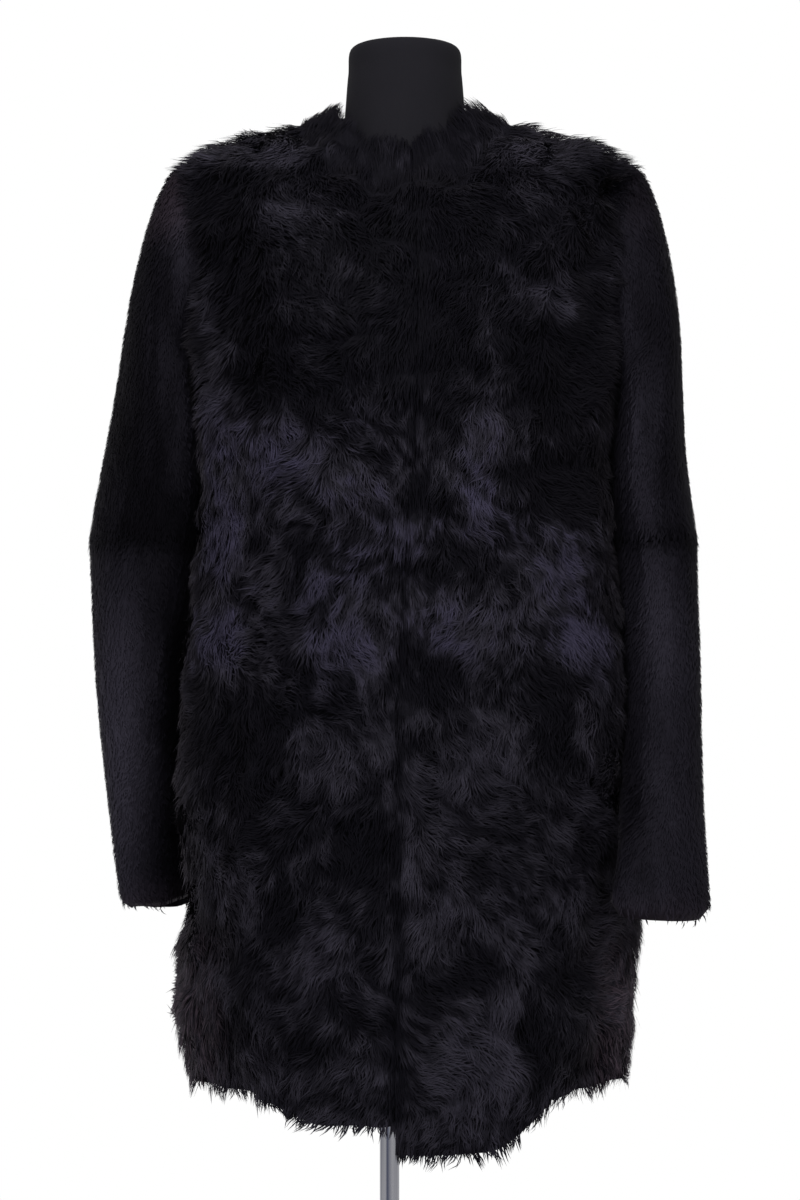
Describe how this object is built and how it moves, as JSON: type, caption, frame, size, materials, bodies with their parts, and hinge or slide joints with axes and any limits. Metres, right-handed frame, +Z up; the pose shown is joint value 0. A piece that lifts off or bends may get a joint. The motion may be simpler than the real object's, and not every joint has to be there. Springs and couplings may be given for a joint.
{
  "type": "fur coat on a dress form",
  "caption": "Knee-length collarless fur coat with long-haired body and sheared sleeves, worn closed on a limbless dress form that stands on a round-based pole",
  "frame": {"origin": "on the pole's axis, at the base plate's underside", "axes": "+Z up; the coat's front faces -Y; +X is the wearer's left"},
  "size_m": [0.5459, 0.36, 1.471],
  "materials": {
    "long_fur": "long wavy hair with a soft sheen",
    "short_fur": "short sheared velvety hair",
    "form_cover": "matte stretched jersey",
    "chrome": "polished"
  },
  "bodies": {
    "root": {"front_left": "long_fur", "front_right": "long_fur", "back": "long_fur", "sleeve_upper_left": "short_fur", "sleeve_upper_right": "short_fur", "sleeve_lower_left": "short_fur", "sleeve_lower_right": "short_fur", "form_body": "form_cover", "pole_socket": "chrome", "pole": "chrome", "base_socket": "chrome", "base_plate": "chrome"}
  },
  "joints": []
}
